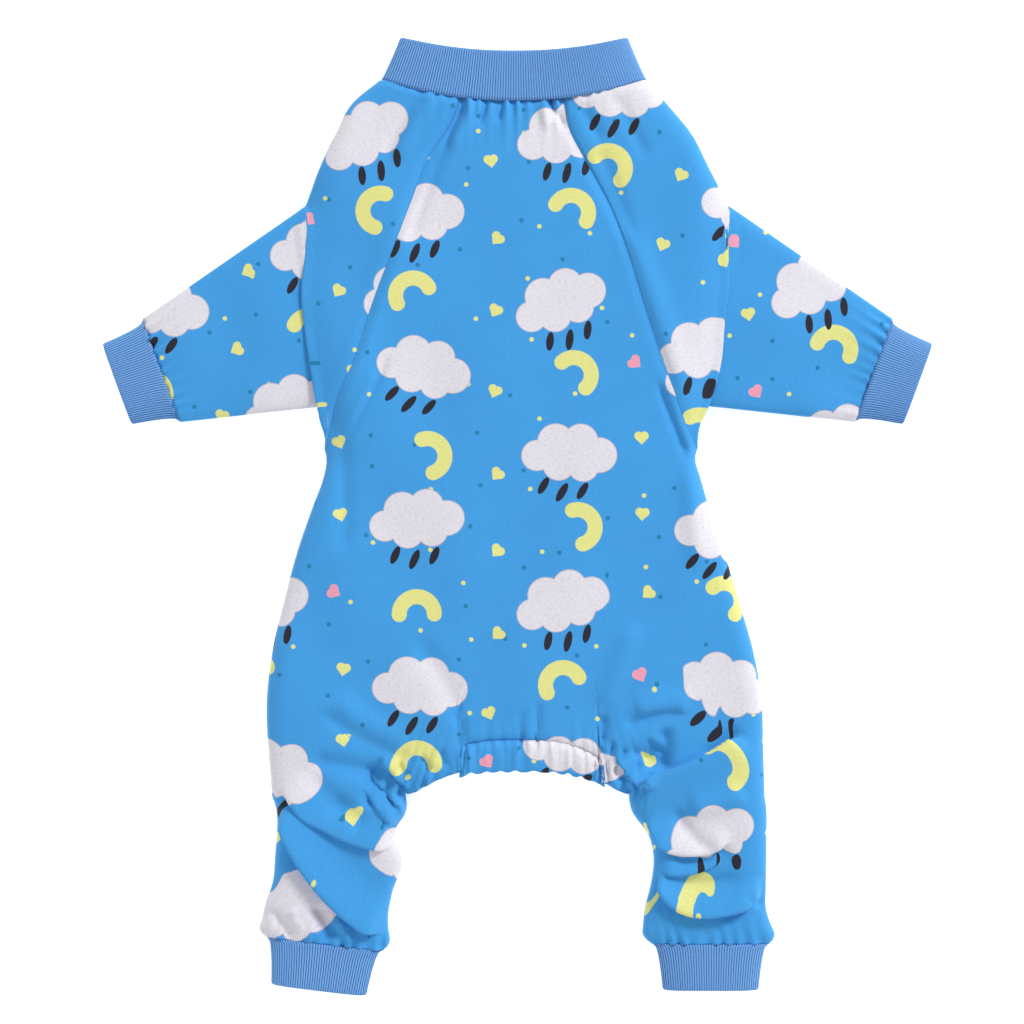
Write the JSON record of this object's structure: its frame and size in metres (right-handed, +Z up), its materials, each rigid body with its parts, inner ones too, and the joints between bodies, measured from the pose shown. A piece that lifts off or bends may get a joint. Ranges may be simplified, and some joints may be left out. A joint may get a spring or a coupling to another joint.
{
  "type": "dog jumpsuit",
  "caption": "Four-legged pull-on dog jumpsuit in printed jersey with ribbed collar and cuffs, laid flat with its back up.",
  "frame": {"origin": "centre of the bounding box, on the surface that the garment lies on", "axes": "+Y towards the neck, +X towards the sleeve on the right of the picture, +Z up from the surface through the back"},
  "size_m": [0.458, 0.5279, 0.0207],
  "materials": {
    "printed_jersey": "matte printed jersey",
    "ribbed_knit": "matte rib knit"
  },
  "bodies": {
    "root": {"back_panel": "printed_jersey", "belly_panel": "printed_jersey", "left_sleeve": "printed_jersey", "right_sleeve": "printed_jersey", "rump_casing": "printed_jersey", "collar": "ribbed_knit", "left_front_cuff": "ribbed_knit", "right_front_cuff": "ribbed_knit", "left_hind_cuff": "ribbed_knit", "right_hind_cuff": "ribbed_knit"}
  },
  "joints": []
}
